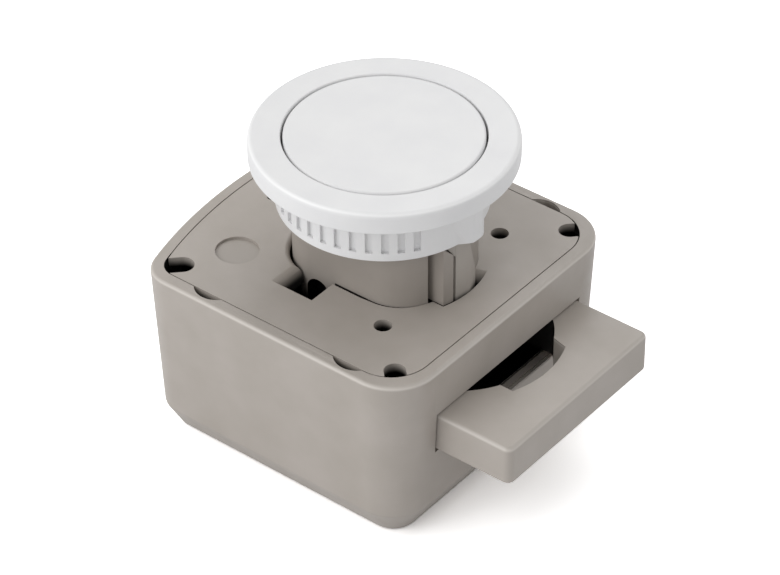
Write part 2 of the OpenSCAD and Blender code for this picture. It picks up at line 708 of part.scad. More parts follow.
// The bolt: a flat head with a notch that clears the tube, and two arms with cam slots
module latch_bolt() color(taupe) {
  clear_r = tube_r + notch_clear;
  pocket_r = rib_r + pocket_clear;
  head_x = 12;
  over = 0.3;
  wall_low = bolt_low + bolt_edge_r;
  slot_low = [pin_x - press_in - 0.25, pin_z - press_in - 0.25];
  slot_high = [pin_x + slot_reach, pin_z + slot_reach];
  difference() {
    union() {
      hull() for (x = [head_x, bolt_end - bolt_edge_r], y = [-1, 1], z = [bolt_low, bolt_high])
        translate([x, y * (bolt_half - bolt_edge_r), z + (z == bolt_low ? bolt_edge_r : -bolt_edge_r)])
          sphere(r = bolt_edge_r, $fn = 24);
      for (s = [0, 1]) mirror([0, s, 0]) {
        translate([arm_rear, arm_in - over, bolt_low])
          cube([head_x + 2 - arm_rear, bolt_half - arm_in + over, bolt_t]);
        // The tall wall that holds the cam slot
        translate([0, arm_out, 0]) rotate([90, 0, 0]) linear_extrude(cam_wall_t + over)
          polygon([[arm_rear, cam_low], [head_x - 7, cam_low], [head_x - 2.4, wall_low],
            [head_x + 1.5, wall_low], [head_x + 1.5, bolt_high - bolt_edge_r],
            [arm_front, bolt_high - bolt_edge_r], [arm_front, cam_high],
            [cam_high - pin_z + pin_x - cam_margin * sqrt(2), cam_high],
            [arm_rear, pin_z + arm_rear - pin_x + cam_margin * sqrt(2)]]);
      }
    }
    // The notch that clears the tube, its ribs and the catch when the bolt is drawn in
    linear_extrude(case_h) polygon(concat(
      [[arm_rear - cut, -arm_in]],
      arc([travel, 0], clear_r, -asin(arm_in / clear_r), -asin(pocket_half / clear_r), 6),
      arc([travel, 0], pocket_r, -asin(pocket_half / pocket_r), asin(pocket_half / pocket_r), 12),
      arc([travel, 0], clear_r, asin(pocket_half / clear_r), asin(arm_in / clear_r), 6),
      [[arm_rear - cut, arm_in]]));
    // The cam slots, which run up and forward at 45 degrees
    for (s = [0, 1]) mirror([0, s, 0])
      slot_y(slot_low, slot_high, pin_r + run, arm_in - cut, arm_out + seat);
  }
}

// The block on the floor that carries the latch wire
module latch_bracket() color(acetal) {
  face = wire_x + wire_r + run;
  rear = wire_x - 0.95;
  difference() {
    translate([rear, -bracket_w / 2, floor_t]) cube([bracket_l, bracket_w, bracket_h]);
    translate([rear - cut, -bracket_gap / 2, floor_t - cut])
      cube([face - rear + cut, bracket_gap, bracket_h + 2 * cut]);
    translate([face - cut, 0, latch_z]) rotate([0, 90, 0])
      cylinder(r = wire_r + seat, h = bracket_l + cut, $fn = 32);
  }
}

// The bent wire that latches the plunger: it swings about its lower end
module latch_wire() color(steel) {
  tip_end = track_x + track_deep - tip_gap;
  translate([wire_x, 0, 0]) {
    translate([0, 0, latch_z]) cylinder(r = wire_r, h = tip_z - latch_z, $fn = 32);
    translate([0, 0, latch_z]) rotate([0, 90, 0]) cylinder(r = wire_r, h = wire_foot, $fn = 32);
    translate([0, 0, tip_z]) rotate([0, 90, 0]) cylinder(r = wire_r, h = tip_end - wire_x, $fn = 32);
    translate([0, 0, latch_z]) sphere(r = wire_r, $fn = 32);
    translate([0, 0, tip_z]) sphere(r = wire_r, $fn = 32);
  }
}

// The leaf spring that keeps the wire's tip in the track
module latch_leaf() color(steel) {
  leaf_x = wire_x - wire_r - 0.3 - leaf_t;
  translate([leaf_x, -leaf_foot_w / 2, floor_t]) cube([leaf_t, leaf_foot_w, leaf_foot_h]);
  translate([leaf_x, -leaf_w / 2, floor_t]) cube([leaf_t, leaf_w, tip_z - floor_t - 2]);
}

rear_housing();
cover_plate();
guide_tube();
tube_screws();
rosette_catch();
rosette_collar();
rosette_bezel();
push_button();
button_carrier();
button_screw();
plunger();
cam_pin();
heart_cam();
plunger_spring();
spring_washer();
spring_seat();
latch_bolt();
latch_bracket();
latch_wire();
latch_leaf();
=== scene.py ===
import math
import bmesh
import bpy
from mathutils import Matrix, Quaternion, Vector


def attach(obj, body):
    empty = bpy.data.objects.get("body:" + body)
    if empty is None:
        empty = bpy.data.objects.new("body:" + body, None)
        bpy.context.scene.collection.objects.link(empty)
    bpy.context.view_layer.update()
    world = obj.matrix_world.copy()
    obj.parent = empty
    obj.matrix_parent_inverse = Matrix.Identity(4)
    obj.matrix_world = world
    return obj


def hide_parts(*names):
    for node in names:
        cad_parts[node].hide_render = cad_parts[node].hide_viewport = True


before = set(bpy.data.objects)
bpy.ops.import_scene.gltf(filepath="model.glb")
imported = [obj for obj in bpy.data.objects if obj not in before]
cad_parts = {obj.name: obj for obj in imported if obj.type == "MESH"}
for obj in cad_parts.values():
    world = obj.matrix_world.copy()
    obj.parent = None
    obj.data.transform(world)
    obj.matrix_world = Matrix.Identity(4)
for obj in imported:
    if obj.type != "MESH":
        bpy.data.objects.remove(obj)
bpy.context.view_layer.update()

# Camera at the photograph's viewing angle: a long lens, looking down on the corner between the
# bolt's face and the near side of the case. Camera, lamps and floor are placed in metres. The
# pieces are drawn in millimetres, and each is turned into metres when it is finished.
look_turn, look_rise, look_roll = math.radians(38.717), math.radians(37.997), math.radians(0.383)
look_at, look_far = Vector((0, 0, 0.018824)), 0.40926
lens_pixels, frame_pixels, sensor_wide = 3409.37, 780, 36
look_back = Vector((math.sin(look_turn) * math.cos(look_rise),
                    -math.cos(look_turn) * math.cos(look_rise), math.sin(look_rise)))
bpy.ops.object.select_all(action="DESELECT")
bpy.ops.object.camera_add(location=look_at + look_back * look_far)
camera = bpy.context.object
camera.name = "photo_camera"
camera.rotation_mode = "QUATERNION"
facing = (-look_back).to_track_quat("-Z", "Y")
camera.rotation_quaternion = facing @ Quaternion((0, 0, 1), -look_roll)
camera.data.lens = lens_pixels / frame_pixels * sensor_wide
camera.data.shift_x, camera.data.shift_y = 0.00588, -0.00045
camera.data.clip_start, camera.data.clip_end = 0.01, 20
bpy.context.scene.camera = camera
bpy.context.scene.view_settings.view_transform = "Standard"

# Soft studio light: two wide soft boxes in front, one over the left shoulder and one low, one
# from behind, a weak one from the far right, and an even pale room all round.


def soft_box(name, direction, watts):
    """A square lamp, 0.7 m wide and 0.9 m away, that faces the lock from that direction."""
    towards = Vector(direction).normalized()
    bpy.ops.object.light_add(type="AREA", location=towards * 0.9)
    lamp = bpy.context.object
    lamp.name = name
    lamp.rotation_euler = towards.to_track_quat("Z", "Y").to_euler()
    lamp.data.size = 0.7
    lamp.data.energy = watts


soft_box("key_box", (-0.55, -0.75, 0.9), 2.65)
soft_box("low_box", (-0.3, -1, 0.3), 2.2)
soft_box("back_box", (-0.2, 0.9, 1.1), 2.25)
soft_box("right_box", (0.9, 0.6, 0.8), 0.5)


def colour(code):
    """An sRGB hex colour as the linear one that a shader takes."""
    parts = [int(code[i:i + 2], 16) / 255 for i in (0, 2, 4)]
    return [c / 12.92 if c <= 0.04045 else ((c + 0.055) / 1.055) ** 2.4 for c in parts] + [1]


def add(tree, kind, settings=(), links=()):
    """Adds one node. Settings go to its sockets by name or to the node itself; a link is a
    socket of this node and the output that feeds it."""
    node = tree.nodes.new(kind)
    for name, value in dict(settings).items():
        if isinstance(name, int) or name in node.inputs:
            node.inputs[name].default_value = value
        else:
            setattr(node, name, value)
    for name, source in dict(links).items():
        tree.links.new(source, node.inputs[name])
    return node


# The room: white where the camera sees it, and about half as bright as a light on the lock
room = bpy.data.worlds.new("pale_room")
room.use_nodes = True
bpy.context.scene.world = room
room.node_tree.nodes.clear()
seen = add(room.node_tree, "ShaderNodeLightPath")
clear = add(room.node_tree, "ShaderNodeMath", {"operation": "MAXIMUM"},
            {0: seen.outputs["Is Camera Ray"], 1: seen.outputs["Is Transmission Ray"]})
strength = add(room.node_tree, "ShaderNodeMapRange", {"To Min": 0.53, "To Max": 1.0},
               {"Value": clear.outputs[0]})
glow = add(room.node_tree, "ShaderNodeBackground", {"Color": colour("FFFFFF")},
           {"Strength": strength.outputs[0]})
add(room.node_tree, "ShaderNodeOutputWorld", {}, {"Surface": glow.outputs[0]})

# Floor: a sheet of white card that lies flat under the lock and keeps its soft shadow. The
# camera sees the card brighter than it lights the lock, so that it ends in plain white.
bpy.ops.mesh.primitive_plane_add(size=6, location=(0, 0, -0.00002))
floor = bpy.context.object
floor.name = "floor_card"
card = bpy.data.materials.new("white_card")
card.use_nodes = True
card.node_tree.nodes.clear()
seen = add(card.node_tree, "ShaderNodeLightPath")
white = add(card.node_tree, "ShaderNodeMix",
            {"data_type": "RGBA", 6: colour("EBEBEC"), 7: [1.85, 1.85, 1.86, 1]},
            {"Factor": seen.outputs["Is Camera Ray"]})
sheet = add(card.node_tree, "ShaderNodeBsdfDiffuse", {}, {"Color": white.outputs[2]})
add(card.node_tree, "ShaderNodeOutputMaterial", {}, {"Surface": sheet.outputs[0]})
floor.data.materials.append(card)

# Rear housing: the box behind the door that holds the mechanism. It is injection moulded in
# taupe acetal with leaning sides, a bevel round its back, and posts and rails inside.
case_front, case_half, case_high = 18.85, 20.8, 24.25
front_round, rear_round, rear_sweep, rear_middle = 6.0, 4.2, 63.0, 39.4
rim_wide, rim_round, wall_thick, cover_seat, floor_high = 1.62, 0.8, 2.7, 22.25, 2.0
top_round, side_lean, back_high, back_lean = 0.55, 0.9, 3.9, 2.2
post_top, post_round, pilot_round, head_room = 20.75, 2.75, 1.05, 2.4
screw_spots = [(14.8, 16.85), (14.8, -16.85), (-17.3, 16.85), (-17.3, -16.85)]
foot_screws = [(10.57, 8.07), (10.57, -8.07), (-10.57, 8.07), (-10.57, -8.07)]


def draw(name, start, path, height=0.0, fill=True):
    """Draws a closed outline on the table, point by point: a step is the next point, or a turn
    (centre x, centre y, degrees, steps). Then the outline is filled."""
    bpy.ops.object.select_all(action="DESELECT")
    bpy.ops.mesh.primitive_plane_add(size=1, location=(0, 0, 0))
    piece = bpy.context.object
    piece.name = name
    bpy.ops.object.mode_set(mode="EDIT")
    bpy.ops.mesh.select_mode(type="VERT")
    bpy.ops.mesh.select_all(action="SELECT")
    bpy.ops.mesh.merge(type="CENTER")
    bpy.ops.transform.translate(value=(start[0], start[1], height))
    at = Vector(start)
    for step in path:
        if len(step) == 2:
            bpy.ops.mesh.extrude_vertices_move(
                TRANSFORM_OT_translate={"value": (step[0] - at.x, step[1] - at.y, 0)})
            at = Vector(step)
        else:
            middle, angle = Vector(step[:2]), math.radians(step[2])
            bpy.ops.mesh.spin(steps=step[3], angle=-angle, center=(*middle, height), axis=(0, 0, 1))
            arm = at - middle
            at = middle + Vector((arm.x * math.cos(angle) - arm.y * math.sin(angle),
                                  arm.x * math.sin(angle) + arm.y * math.cos(angle)))
    bpy.ops.mesh.select_all(action="SELECT")
    bpy.ops.mesh.remove_doubles(threshold=0.004)
    if fill:
        bpy.ops.mesh.edge_face_add()
    bpy.ops.object.mode_set(mode="OBJECT")
    return piece


def raise_by(piece, height):
    """Extrudes the drawn face into a closed solid, and points its faces outwards."""
    bpy.context.view_layer.objects.active = piece
    bpy.ops.object.mode_set(mode="EDIT")
    bpy.ops.mesh.select_all(action="SELECT")
    bpy.ops.mesh.extrude_region_move(TRANSFORM_OT_translate={"value": (0, 0, height)})
    bpy.ops.mesh.select_all(action="SELECT")
    bpy.ops.mesh.normals_make_consistent(inside=False)
    bpy.ops.object.mode_set(mode="OBJECT")
    return piece


def pick(piece, kind, test):
    """Goes into edit mode and selects the faces or edges that pass the test: a face by its
    middle and normal, an edge by its two ends."""
    bpy.context.view_layer.objects.active = piece
    if piece.mode != "EDIT":
        bpy.ops.object.mode_set(mode="EDIT")
    bpy.ops.mesh.select_mode(type=kind)
    bpy.ops.mesh.select_all(action="DESELECT")
    mesh = bmesh.from_edit_mesh(piece.data)
    if kind == "FACE":
        for face in mesh.faces:
            face.select_set(test(face.calc_center_median(), face.normal))
    else:
        for edge in mesh.edges:
            edge.select_set(test(edge.verts[0].co, edge.verts[1].co))
    mesh.select_flush_mode()
    bmesh.update_edit_mesh(piece.data)


def stand(piece, turn=(0, 0, 0), at=(0, 0, 0)):
    """Turns a piece by degrees about X, Y and Z, moves it, and keeps that in its mesh."""
    bpy.ops.object.select_all(action="DESELECT")
    piece.select_set(True)
    bpy.context.view_layer.objects.active = piece
    piece.rotation_euler = [math.radians(angle) for angle in turn]
    piece.location = at
    bpy.ops.object.transform_apply()
    return piece


def block(low, high):
    """A box between two corners, as a tool that cuts or a lump that is fused on."""
    size = [b - a for a, b in zip(low, high)]
    bpy.ops.mesh.primitive_cube_add(size=1, location=[(a + b) / 2 for a, b in zip(low, high)])
    bpy.context.object.scale = size
    bpy.ops.object.transform_apply()
    return bpy.context.object


def rod(at, radius, low, high, steps=64):
    """An upright round tool or post."""
    bpy.ops.mesh.primitive_cylinder_add(vertices=steps, radius=radius, depth=high - low,
                                        location=(at[0], at[1], (low + high) / 2))
    bpy.ops.object.transform_apply()
    return bpy.context.object


def fuse(piece, others, way="UNION"):
    """Joins solids to a piece, or cuts them out of it, and puts the tools away."""
    for other in others:
        step = piece.modifiers.new("fuse", "BOOLEAN")
        step.operation, step.object, step.solver = way, other, "EXACT"
        bpy.context.view_layer.objects.active = piece
        bpy.ops.object.modifier_apply(modifier="fuse")
        bpy.data.objects.remove(other)
    return piece


def finish_mould(piece, edge, sharp=32, rounds=2):
    """Rounds what edges are still sharp, as the mould does, shades the faces flat where they
    are flat, and turns millimetres into metres."""
    bpy.ops.object.select_all(action="DESELECT")
    piece.select_set(True)
    bpy.context.view_layer.objects.active = piece
    bpy.ops.object.mode_set(mode="EDIT")
    bpy.ops.mesh.select_all(action="SELECT")
    bpy.ops.mesh.remove_doubles(threshold=0.002)
    bpy.ops.mesh.dissolve_limited(angle_limit=math.radians(0.5), delimit={"NORMAL", "MATERIAL"})
    bpy.ops.mesh.delete_loose()
    bpy.ops.object.mode_set(mode="OBJECT")
    if edge:
        step = piece.modifiers.new("edges", "BEVEL")
        step.width, step.segments, step.angle_limit = edge, rounds, math.radians(sharp)
        step.limit_method = "ANGLE"
        bpy.ops.object.modifier_apply(modifier="edges")
    bpy.ops.object.shade_smooth_by_angle(angle=math.radians(sharp))
    step = piece.modifiers.new("flats", "WEIGHTED_NORMAL")
    step.keep_sharp = True
    bpy.ops.object.modifier_apply(modifier="flats")
    piece.scale = (0.001, 0.001, 0.001)
    bpy.ops.object.transform_apply()


def case_plan(inset, wider=0.0):
    """The case's outline, set in on all sides, with its front corners rounded wider if asked:
    start point and path for draw."""
    front_x, front_y = case_front - front_round - wider, case_half - front_round - wider
    rear_y, reach = case_half - rear_round, rear_sweep - rear_round
    rear_x = rear_middle - math.sqrt(reach * reach - rear_y * rear_y)
    sweep = math.degrees(math.asin(rear_y / reach))
    front, rear = front_round + wider - inset, rear_round - inset
    return (front_x, -front_y - front), [
        (front_x, -front_y, 90, 14), (front_x + front, front_y), (front_x, front_y, 90, 14),
        (rear_x, rear_y + rear), (rear_x, rear_y, 90 - sweep, 12),
        (rear_middle, 0, 2 * sweep, 24), (rear_x, -rear_y, 90 - sweep, 12)]


# The outer shape: drawn just under the top edge, raised, and stepped in down to the bevel
housing = raise_by(draw("rear_housing_shell", *case_plan(0), height=case_high - top_round),
                   top_round)
pick(housing, "FACE", lambda at, normal: normal.z < -0.9)
bpy.ops.mesh.inset(thickness=side_lean, depth=case_high - top_round - back_high)
bpy.ops.mesh.inset(thickness=back_lean, depth=back_high)
pick(housing, "EDGE", lambda a, b: a.z > case_high - 0.01 and b.z > case_high - 0.01)
bpy.ops.mesh.bevel(offset=top_round, segments=5)
pick(housing, "EDGE", lambda a, b: abs(a.z - back_high) < 0.01 and abs(b.z - back_high) < 0.01)
bpy.ops.mesh.bevel(offset=0.3, segments=3)
pick(housing, "EDGE", lambda a, b: a.z < 0.01 and b.z < 0.01)
bpy.ops.mesh.bevel(offset=0.5, segments=4)
bpy.ops.object.mode_set(mode="OBJECT")
# The mould's core: the cover's seat, the cavity and its narrower floor, with pockets for the
# four screw posts and the two rails of the bolt
core = raise_by(draw("core", *case_plan(rim_wide, rim_round), height=cover_seat), 4)
pick(core, "FACE", lambda at, normal: normal.z < -0.9)
bpy.ops.mesh.inset(thickness=wall_thick - rim_wide, depth=0)
bpy.ops.mesh.extrude_region_move(TRANSFORM_OT_translate={"value": (0, 0, 4.5 - cover_seat)})
bpy.ops.mesh.inset(thickness=1.3, depth=0)
bpy.ops.mesh.extrude_region_move(TRANSFORM_OT_translate={"value": (0, 0, floor_high - 4.5)})
bpy.ops.object.mode_set(mode="OBJECT")
post_room = rod(screw_spots[0], head_room, post_top, 26, 48)
fuse(post_room, [rod(spot, head_room, post_top, 26, 48) for spot in screw_spots[1:]])
within = raise_by(draw("within", *case_plan(rim_wide + 0.03, rim_round), height=20), 6)
fuse(post_room, [within], "INTERSECT")
fuse(core, [rod(spot, post_round, 4.3, post_top) for spot in screw_spots], "DIFFERENCE")
for side in (1, -1):
    rail = draw("rail", (11.65 * side, 1.5), [
        (15.37 * side, 1.5), (15.37 * side, 17.8), (13.77 * side, 17.8), (13.77 * side, 12.08),
        (11.65 * side, 12.08)])
    fuse(core, [stand(raise_by(rail, 31), (90, 0, 90), (-14, 0, 0))], "DIFFERENCE")
fuse(housing, [core, post_room], "DIFFERENCE")
# The bolt's opening, higher at its two ends, with a soft inner sill and two fine grooves along
# it, then the pry crescents in the rim, and the screw holes
fuse(housing, [block((15.95, -13.85, 11.78), (20, 14.1, 17.6)),
               block((15.95, -11.6, 11.5), (20, 11.6, 17.5)),
               block((17.7, -11.4, 11.3), (17.95, 11.4, 12)),
               block((18.25, -11.4, 11.3), (18.5, 11.4, 12))], "DIFFERENCE")
lip = draw("lip", (15.9, 10.5), [(16.15, 10.7), (16.22, 11.0), (16.4, 11.28), (16.62, 11.44),
                                 (16.85, 11.5), (16.85, 12), (15.9, 12)])
fuse(housing, [stand(raise_by(lip, 23.7), (90, 0, 0), (0, 11.85, 0))], "DIFFERENCE")
for side in (1, -1):
    for x in (-11.4, 9.7):
        fuse(housing, [rod((x, 17.33 * side), 2.8, case_high - 1.5, 26, 96)], "DIFFERENCE")
fuse(housing, [rod(spot, pilot_round, post_top - 10, 21.5, 32) for spot in screw_spots],
     "DIFFERENCE")
for spot in foot_screws:
    fuse(housing, [rod(spot, 1.35, -1, 3, 40), rod(spot, 2.35, -1, 1.2, 48)], "DIFFERENCE")


def moulded_plastic(name, deep, pale, satin, grain, cloud=0.007, painted_shade=None, painted_highlight=None):
    """Injection moulded plastic, coloured through: a faint cloudy flow between two near shades,
    a fine eroded grain from the mould's face, and a shine that changes a little from place to
    place. If painted_shade is given, painted shade darkens the walls of gaps, to black at the
    lower of those two heights. If painted_highlight is given, a painted highlight pales the band
    between those two heights to that colour."""
    finish = bpy.data.materials.new(name)
    finish.use_nodes = True
    tree = finish.node_tree
    tree.nodes.clear()
    place = add(tree, "ShaderNodeTexCoord")
    # Flow clouds, 7 mm across in the large parts and 5 mm in the small ones
    flow = add(tree, "ShaderNodeTexNoise", {"Scale": 1 / cloud, "Detail": 3, "Roughness": 0.55},
               {"Vector": place.outputs["Object"]})
    tint = add(tree, "ShaderNodeValToRGB", {}, {"Fac": flow.outputs["Fac"]})
    shades = tint.color_ramp.elements
    shades[0].position, shades[1].position = 0.3, 0.7
    shades[0].color, shades[1].color = colour(deep), colour(pale)
    skin_colour = tint.outputs["Color"]
    if painted_shade:
        # Painted shade, black at the lower height and gone at the upper one
        height = add(tree, "ShaderNodeSeparateXYZ", {}, {"Vector": place.outputs["Object"]})
        unshaded = add(tree, "ShaderNodeMapRange",
                    {"From Min": painted_shade[0] / 1000, "From Max": painted_shade[1] / 1000,
                     "interpolation_type": "SMOOTHSTEP"}, {"Value": height.outputs["Z"]})
        shade_mix = add(tree, "ShaderNodeMix", {"data_type": "RGBA", 6: colour("0C0B0A")},
                    {0: unshaded.outputs["Result"], 7: tint.outputs["Color"]})
        skin_colour = shade_mix.outputs[2]
    if painted_highlight:
        # The painted highlight, strongest in the middle of the rounded edge
        height = add(tree, "ShaderNodeSeparateXYZ", {}, {"Vector": place.outputs["Object"]})
        across = add(tree, "ShaderNodeMapRange",
                     {"From Min": painted_highlight[0] / 1000, "From Max": painted_highlight[1] / 1000},
                     {"Value": height.outputs["Z"]})
        line = add(tree, "ShaderNodeValToRGB", {}, {"Fac": across.outputs["Result"]})
        shades = line.color_ramp.elements
        shades[0].color = shades[1].color = (0, 0, 0, 1)
        shades.new(0.5).color = (0.8, 0.8, 0.8, 1)
        highlight_mix = add(tree, "ShaderNodeMix", {"data_type": "RGBA", 7: colour(painted_highlight[2])},
                   {0: line.outputs["Color"], 6: skin_colour})
        skin_colour = highlight_mix.outputs[2]
    # Eroded grain, 0.3 mm: the real one is nearer 0.1 mm, too fine to show at this distance
    pits = add(tree, "ShaderNodeTexNoise", {"Scale": 1 / 0.0003, "Detail": 2, "Roughness": 0.6},
               {"Vector": place.outputs["Object"]})
    relief = add(tree, "ShaderNodeBump", {"Strength": grain, "Distance": 0.00002},
                 {"Height": pits.outputs["Fac"]})
    # Patches of shine, 2.5 mm across
    patch = add(tree, "ShaderNodeTexNoise", {"Scale": 1 / 0.0025, "Detail": 2},
                {"Vector": place.outputs["Object"]})
    shine = add(tree, "ShaderNodeMapRange", {"From Min": 0.3, "From Max": 0.7,
                                             "To Min": satin - 0.05, "To Max": satin + 0.05},
                {"Value": patch.outputs["Fac"]})
    skin = add(tree, "ShaderNodeBsdfPrincipled", {"IOR": 1.48},
               {"Base Color": skin_colour, "Roughness": shine.outputs["Result"],
                "Normal": relief.outputs["Normal"]})
    add(tree, "ShaderNodeOutputMaterial", {}, {"Surface": skin.outputs["BSDF"]})
    return finish


def within_case(at, inset):
    """Whether a point lies within the case's four sides, set in by so much."""
    return (abs(at.y) < case_half - inset and at.x < case_front - inset
            and math.hypot(at.x - rear_middle, at.y) < rear_sweep - inset)


def line_inside(piece, finish, test):
    """Paints shade on the faces that pass the test, those inside the closed lock: a second finish.
    """
    piece.data.materials.append(finish)
    pick(piece, "FACE", test)
    piece.active_material_index = len(piece.data.materials) - 1
    bpy.ops.object.material_slot_assign()
    bpy.ops.object.mode_set(mode="OBJECT")


# Satin taupe acetal: dense and slightly waxy, so its shine is broad and soft. The rim has a
# painted highlight. Inside the closed lock the same acetal is painted near black: painted shade.
taupe_shades = ("A8A199", "B0A9A2")
painted_shade_taupe = moulded_plastic("taupe_acetal_in_painted_shade", "0C0B0A", "12100F", 0.5, 0.2)
housing.data.materials.append(
    moulded_plastic("satin_taupe_acetal_with_a_painted_highlight_on_the_rim", *taupe_shades, 0.36, 0.2,
                    painted_highlight=(23.72, 24.22, "D2CCC5")))
# Painted shade on the cavity's walls and floor, and over the posts' heads
line_inside(housing, painted_shade_taupe, lambda at, normal: (
    floor_high - 0.01 < at.z < cover_seat - 0.02 and within_case(at, wall_thick - 0.02)
    and (at.z > 4.2 or within_case(at, 4.0)))
    or (post_top - 0.05 < at.z < 23.6
        and any(math.hypot(at.x - x, at.y - y) < head_room + 0.02 for x, y in screw_spots)))
finish_mould(housing, 0.13)
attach(housing, "case")
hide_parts("rear_housing")

# Guide tube: the threadless tube that passes through the door and guides the plunger. It is
# moulded in a darker acetal, with two flats, a window for the cross pin on each side, a rib
# beside the rosette's catch and a foot that is screwed to the case's floor.
tube_round, tube_flat, tube_corner, tube_top, tube_wall = 11.15, 8.38, 5.8, 36.5, 1.4
rib_near, rib_far, rib_root, rib_reach = 2.5, 3.9, 8.9, 12.4
cover_line, pin_rear, pin_front = 24.14, -6.35, -0.9


def two_flats(radius, flat, corner):
    """The outline of a round bar with two flats and large round corners between them."""
    x = math.sqrt((radius - corner) ** 2 - (flat - corner) ** 2)
    y = flat - corner
    side = math.degrees(math.atan2(y, x))
    start = (radius * math.cos(math.radians(side)), -radius * math.sin(math.radians(side)))
    return start, [
        (0, 0, 2 * side, 14), (x, y, 90 - side, 10), (-x, flat), (-x, y, 90 - side, 10),
        (0, 0, 2 * side, 14), (-x, -y, 90 - side, 10), (x, -flat), (x, -y, 90 - side, 10)]


def capsule(ends, radius, depth):
    """A bar with two round ends between two points, raised by its depth."""
    (ax, ay), (bx, by) = ends
    long = math.hypot(bx - ax, by - ay)
    nx, ny = (by - ay) / long * radius, -(bx - ax) / long * radius
    return raise_by(draw("capsule", (ax + nx, ay + ny), [
        (bx + nx, by + ny), (bx, by, 180, 24), (ax - nx, ay - ny), (ax, ay, 180, 24)]), depth)


tube = raise_by(draw("guide_tube_moulding", *two_flats(tube_round, tube_flat, tube_corner),
                     height=floor_high), tube_top - floor_high)
foot = draw("foot", (12.3, -10.38), [
    (12.9, -9.6), (12.9, 9.6), (12.3, 10.38), (-12.3, 10.38), (-12.9, 9.6), (-12.9, -9.6),
    (-12.3, -10.38)], height=floor_high)
fuse(tube, [raise_by(foot, 3)])
# A groove beside the rib, then the rib, whose top slopes down towards the catch
fuse(tube, [block((9.1, -4.7, 6), (12, -3.6, 33))], "DIFFERENCE")
inner, outer = [math.degrees(math.asin(y / rib_reach)) for y in (rib_near, rib_far)]
rib = raise_by(draw("rib", (rib_root, -rib_far), [
    (rib_reach * math.cos(math.radians(outer)), -rib_far), (0, 0, outer - inner, 4),
    (rib_root, -rib_near)], height=floor_high), 30.3)
bpy.ops.object.mode_set(mode="EDIT")
bpy.ops.mesh.select_all(action="SELECT")
bpy.ops.mesh.bisect(plane_co=(0, -rib_far, 32.3), plane_no=(0, 1.9, 1.35), use_fill=True,
                    clear_outer=True)
bpy.ops.object.mode_set(mode="OBJECT")
fuse(tube, [rib])
# The bore, the cross pin's upright window through both flats, and the foot's screw holes
bore = raise_by(draw("bore", *two_flats(tube_round - tube_wall, tube_flat - tube_wall,
                                        tube_corner - tube_wall), height=1), 37)
window = stand(capsule([(-3.5, 8.75), (-3.5, 21.7)], 1.65, 26), (90, 0, 0), (0, 13, 0))
fuse(tube, [bore, window] + [rod(spot, 1.25, 1, 4.8, 40) for spot in foot_screws], "DIFFERENCE")
# The tube's acetal is the case's, a shade darker, with painted shade below the cover's top
dark_shades = ("98918A", "A09992")
tube.data.materials.append(moulded_plastic("satin_dark_taupe_acetal", *dark_shades, 0.4, 0.2,
                                           painted_shade=(22.8, 24.0)))
# Marked out on it: where it goes down into the cover, and the cover's two windows over the
# cross pin, through which it is seen deeper
bpy.ops.object.mode_set(mode="EDIT")
for place, normal in (((0, 0, cover_line), (0, 0, 1)), ((pin_rear, 0, 0), (1, 0, 0)),
                      ((pin_front, 0, 0), (1, 0, 0))):
    bpy.ops.mesh.select_all(action="SELECT")
    bpy.ops.mesh.bisect(plane_co=place, plane_no=normal)
bpy.ops.object.mode_set(mode="OBJECT")
# Painted shade: the bore, and the faces under the cover in front of the windows, near black
line_inside(tube, painted_shade_taupe, lambda at, normal: (
    at.z < tube_top - 0.2 and math.hypot(at.x, at.y) < tube_round - tube_wall + 0.1
    and abs(at.y) < tube_flat - tube_wall + 0.1) or (at.z < cover_line and at.x > pin_front))
# Through the windows the painted shade starts lower: darker downwards, black by 19.5 mm
seen_deeper = moulded_plastic("satin_dark_taupe_acetal_in_the_windows", *dark_shades, 0.4, 0.2,
                              painted_shade=(19.5, 22.6))
line_inside(tube, seen_deeper, lambda at, normal: (
    at.z < cover_line and pin_rear < at.x < pin_front
    and abs(at.y) > tube_flat - tube_wall + 0.1 and abs(normal.y) > 0.3))
finish_mould(tube, 0.14)
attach(tube, "case")
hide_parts("guide_tube")

# Tube screws: four zinc plated steel screws, driven from the case's back into the tube's foot.
# Their heads lie in round recesses.


def bright_steel(name, deep, pale, satin):
    """Plated or drawn steel: a cool grey metal whose face has a faint cloudy bloom, so that it
    shines unevenly, with fine marks from the lathe or the die."""
    finish = bpy.data.materials.new(name)
    finish.use_nodes = True
    tree = finish.node_tree
    tree.nodes.clear()
    place = add(tree, "ShaderNodeTexCoord")
    # Bloom, 1.2 mm across
    bloom = add(tree, "ShaderNodeTexNoise", {"Scale": 1 / 0.0012, "Detail": 3},
                {"Vector": place.outputs["Object"]})
    tint = add(tree, "ShaderNodeValToRGB", {}, {"Fac": bloom.outputs["Fac"]})
    shades = tint.color_ramp.elements
    shades[0].position, shades[1].position = 0.35, 0.65
    shades[0].color, shades[1].color = colour(deep), colour(pale)
    # Fine marks, 0.15 mm apart
    marks = add(tree, "ShaderNodeTexNoise", {"Scale": 1 / 0.00015, "Detail": 1},
                {"Vector": place.outputs["Object"]})
    relief = add(tree, "ShaderNodeBump", {"Strength": 0.25, "Distance": 0.00001},
                 {"Height": marks.outputs["Fac"]})
    shine = add(tree, "ShaderNodeMapRange", {"To Min": satin - 0.06, "To Max": satin + 0.08},
                {"Value": bloom.outputs["Fac"]})
    skin = add(tree, "ShaderNodeBsdfPrincipled", {"Metallic": 1.0},
               {"Base Color": tint.outputs["Color"], "Roughness": shine.outputs["Result"],
                "Normal": relief.outputs["Normal"]})
    add(tree, "ShaderNodeOutputMaterial", {}, {"Surface": skin.outputs["BSDF"]})
    return finish


def dress(names, finish):
    """Gives CAD nodes that stay as they are their real finish."""
    for name in names:
        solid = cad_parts[name]
        solid.data.materials.clear()
        solid.data.materials.append(finish)


zinc = bright_steel("zinc_plated_steel", "B4B7BA", "C6C8CA", 0.34)
dress(["tube_screws"], zinc)

